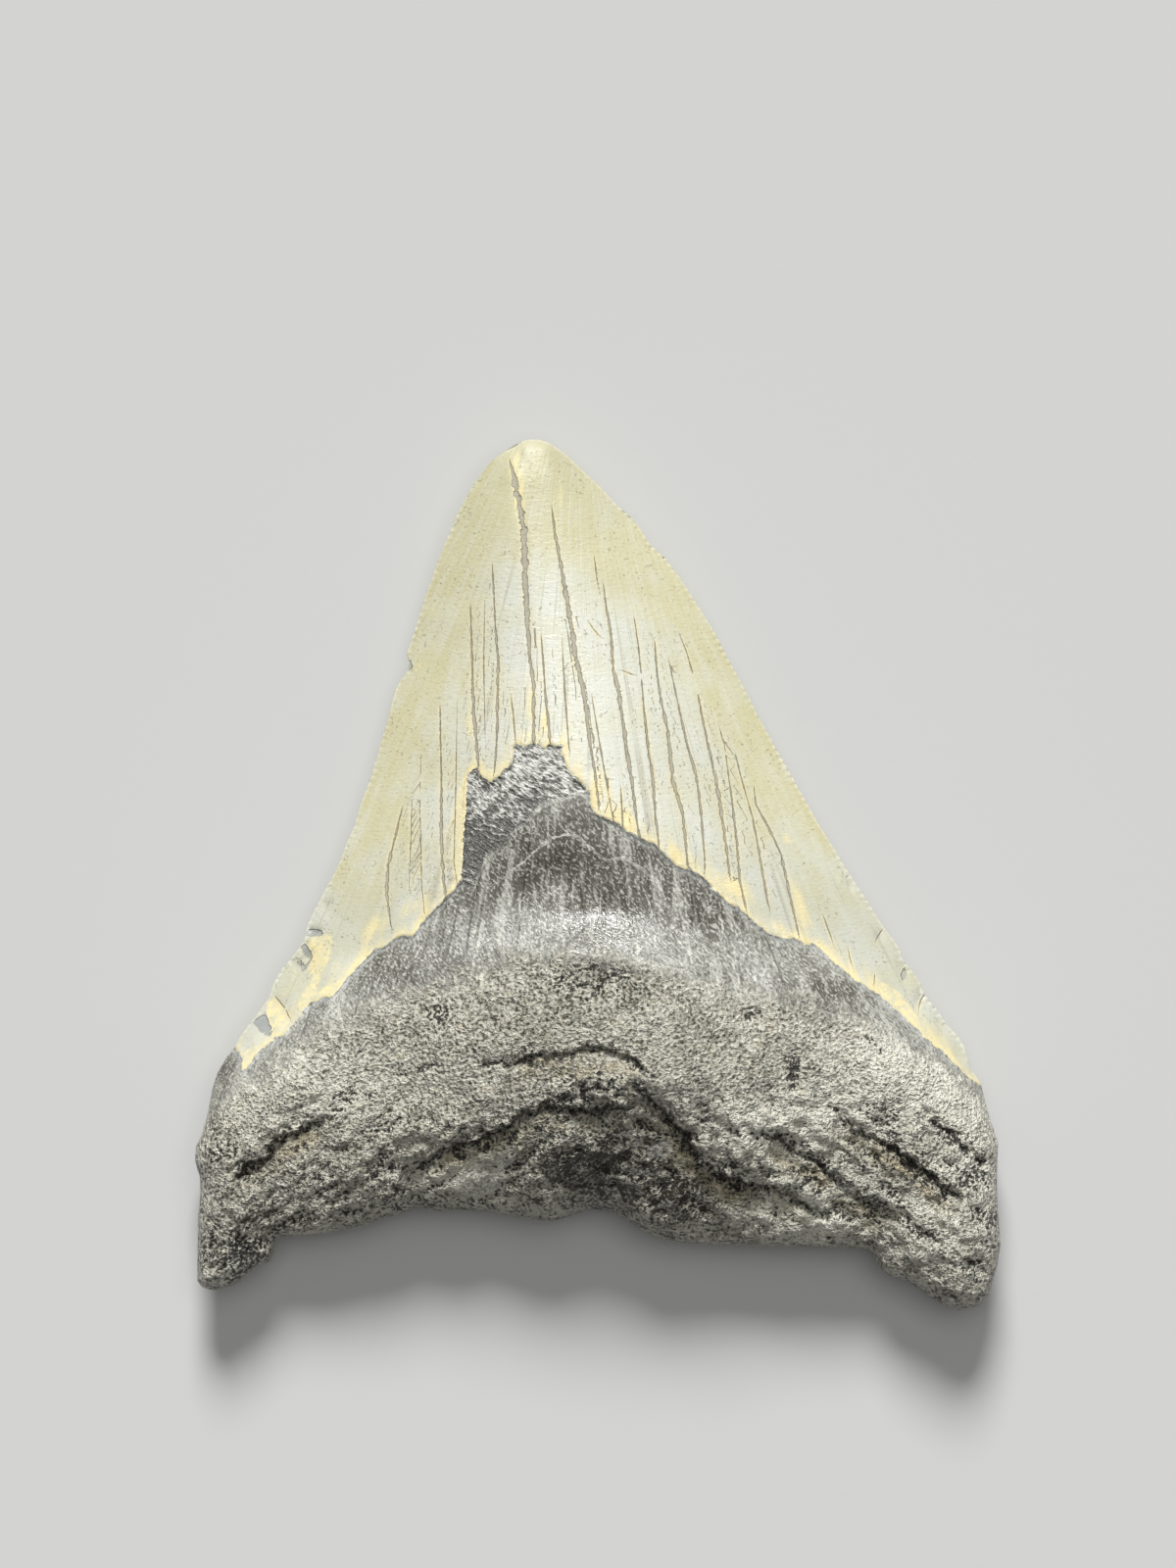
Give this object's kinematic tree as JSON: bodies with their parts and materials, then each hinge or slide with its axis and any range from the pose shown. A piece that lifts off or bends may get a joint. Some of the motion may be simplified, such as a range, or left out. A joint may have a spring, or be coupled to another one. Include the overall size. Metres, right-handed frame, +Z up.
{
  "type": "megalodon tooth",
  "caption": "Large triangular fossil shark tooth with a tall enamel crown, a dark band below it and a broad, worn two-lobed root.",
  "frame": {"origin": "middle of the underside of the tooth's bounding box, on the surface that the tooth lies on", "axes": "+Y from the root to the tip, +Z up out of the lingual face, +X to the right when the lingual face is seen with the tip up"},
  "size_m": [0.1026, 0.1108, 0.0244],
  "materials": {
    "tooth": "glossy cream and grey enamel with brown cracks, near-black glossy band, granular grey-brown root"
  },
  "bodies": {
    "root": {"tooth": "tooth"}
  },
  "joints": []
}
